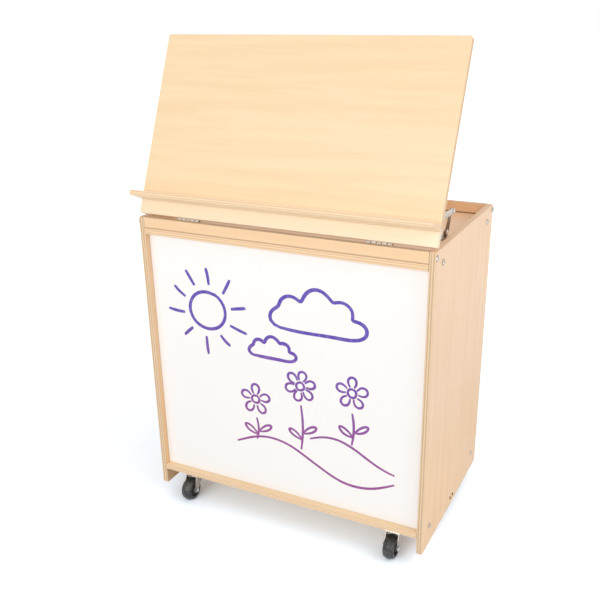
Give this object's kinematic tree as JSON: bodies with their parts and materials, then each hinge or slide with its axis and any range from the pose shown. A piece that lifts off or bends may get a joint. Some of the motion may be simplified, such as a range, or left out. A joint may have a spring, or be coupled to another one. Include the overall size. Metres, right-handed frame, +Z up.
{
  "type": "big book display",
  "caption": "Plywood display cabinet on swivel casters with a tilting book board and ledge over a shallow tray, a white marker front and open rear storage bays.",
  "frame": {"origin": "on the floor under the middle of the whole object with its board open", "axes": "+Z up, +X to the right of a reader who faces the white front, +Y to the open back"},
  "size_m": [0.615, 0.4048, 0.978],
  "materials": {
    "plywood": "clear satin",
    "marker_laminate": "gloss",
    "zinc": "bright zinc plate",
    "steel": "plain",
    "tyre_rubber": "matte",
    "hub_plastic": "matte"
  },
  "bodies": {
    "cabinet": {"side_panel_left": "plywood", "side_panel_right": "plywood", "bottom_panel": "plywood", "tray_floor": "plywood", "front_rail": "plywood", "rear_rail": "plywood", "marker_panel": "marker_laminate", "centre_divider": "plywood", "assembly_bolt_left_1": "zinc", "assembly_bolt_left_2": "zinc", "assembly_bolt_left_3": "zinc", "assembly_bolt_left_4": "zinc", "assembly_bolt_left_5": "zinc", "assembly_bolt_left_6": "zinc", "assembly_bolt_right_1": "zinc", "assembly_bolt_right_2": "zinc", "assembly_bolt_right_3": "zinc", "assembly_bolt_right_4": "zinc", "assembly_bolt_right_5": "zinc", "assembly_bolt_right_6": "zinc", "hinge_rail_leaf_left": "zinc", "hinge_rail_leaf_right": "zinc", "hinge_pin_left": "steel", "hinge_pin_right": "steel", "stay_foot_left": "zinc", "stay_foot_right": "zinc", "caster_plate_front_left": "zinc", "caster_plate_front_right": "zinc", "caster_plate_rear_left": "zinc", "caster_plate_rear_right": "zinc"},
    "display": {"display_board": "plywood", "book_ledge": "plywood", "hinge_board_leaf_left": "zinc", "hinge_board_leaf_right": "zinc", "stay_head_left": "zinc", "stay_head_right": "zinc"},
    "lower_arm_left": {"stay_lower_arm_left": "zinc", "stay_elbow_rivet_left": "steel"},
    "lower_arm_right": {"stay_lower_arm_right": "zinc", "stay_elbow_rivet_right": "steel"},
    "upper_arm_left": {"stay_upper_arm_left": "zinc"},
    "upper_arm_right": {"stay_upper_arm_right": "zinc"},
    "fork_front_left": {"caster_fork_front_left": "zinc", "caster_axle_front_left": "steel"},
    "fork_front_right": {"caster_fork_front_right": "zinc", "caster_axle_front_right": "steel"},
    "fork_rear_left": {"caster_fork_rear_left": "zinc", "caster_axle_rear_left": "steel"},
    "fork_rear_right": {"caster_fork_rear_right": "zinc", "caster_axle_rear_right": "steel"},
    "wheel_front_left": {"caster_tyre_front_left": "tyre_rubber", "caster_hub_front_left": "hub_plastic"},
    "wheel_front_right": {"caster_tyre_front_right": "tyre_rubber", "caster_hub_front_right": "hub_plastic"},
    "wheel_rear_left": {"caster_tyre_rear_left": "tyre_rubber", "caster_hub_rear_left": "hub_plastic"},
    "wheel_rear_right": {"caster_tyre_rear_right": "tyre_rubber", "caster_hub_rear_right": "hub_plastic"}
  },
  "joints": [
    {"name": "board_tilt", "type": "hinge", "parent": "cabinet", "child": "display", "pos_m": [0, -0.16487, 0.6426], "axis": [1, 0, 0], "range_deg": [-66.5, 0]},
    {"name": "lower_arm_left_turn", "type": "hinge", "parent": "cabinet", "child": "lower_arm_left", "pos_m": [-0.2724, -0.01597, 0.6347], "axis": [1, 0, 0], "range_deg": [-66.5, 0]},
    {"name": "lower_arm_right_turn", "type": "hinge", "parent": "cabinet", "child": "lower_arm_right", "pos_m": [0.2724, -0.01597, 0.6347], "axis": [1, 0, 0], "range_deg": [-66.5, 0]},
    {"name": "upper_arm_left_turn", "type": "hinge", "parent": "display", "child": "upper_arm_left", "pos_m": [-0.2766, -0.14287, 0.6784], "axis": [1, 0, 0], "range_deg": [0, 66.5]},
    {"name": "upper_arm_right_turn", "type": "hinge", "parent": "display", "child": "upper_arm_right", "pos_m": [0.2766, -0.14287, 0.6784], "axis": [1, 0, 0], "range_deg": [0, 66.5]},
    {"name": "swivel_front_left", "type": "hinge", "parent": "cabinet", "child": "fork_front_left", "pos_m": [-0.2385, -0.14947, 0.06], "axis": [0, 0, 1], "continuous": true},
    {"name": "swivel_front_right", "type": "hinge", "parent": "cabinet", "child": "fork_front_right", "pos_m": [0.2385, -0.14947, 0.06], "axis": [0, 0, 1], "continuous": true},
    {"name": "swivel_rear_left", "type": "hinge", "parent": "cabinet", "child": "fork_rear_left", "pos_m": [-0.2385, 0.17153, 0.06], "axis": [0, 0, 1], "continuous": true},
    {"name": "swivel_rear_right", "type": "hinge", "parent": "cabinet", "child": "fork_rear_right", "pos_m": [0.2385, 0.17153, 0.06], "axis": [0, 0, 1], "continuous": true},
    {"name": "spin_front_left", "type": "hinge", "parent": "fork_front_left", "child": "wheel_front_left", "pos_m": [-0.2385, -0.16947, 0.0254], "axis": [1, 0, 0], "continuous": true},
    {"name": "spin_front_right", "type": "hinge", "parent": "fork_front_right", "child": "wheel_front_right", "pos_m": [0.2385, -0.16947, 0.0254], "axis": [1, 0, 0], "continuous": true},
    {"name": "spin_rear_left", "type": "hinge", "parent": "fork_rear_left", "child": "wheel_rear_left", "pos_m": [-0.2385, 0.15153, 0.0254], "axis": [1, 0, 0], "continuous": true},
    {"name": "spin_rear_right", "type": "hinge", "parent": "fork_rear_right", "child": "wheel_rear_right", "pos_m": [0.2385, 0.15153, 0.0254], "axis": [1, 0, 0], "continuous": true}
  ],
  "couplings": [
    {"joint": "lower_arm_left_turn", "follows": "board_tilt", "ratio": 1},
    {"joint": "lower_arm_right_turn", "follows": "board_tilt", "ratio": 1},
    {"joint": "upper_arm_left_turn", "follows": "board_tilt", "ratio": -1},
    {"joint": "upper_arm_right_turn", "follows": "board_tilt", "ratio": -1}
  ]
}
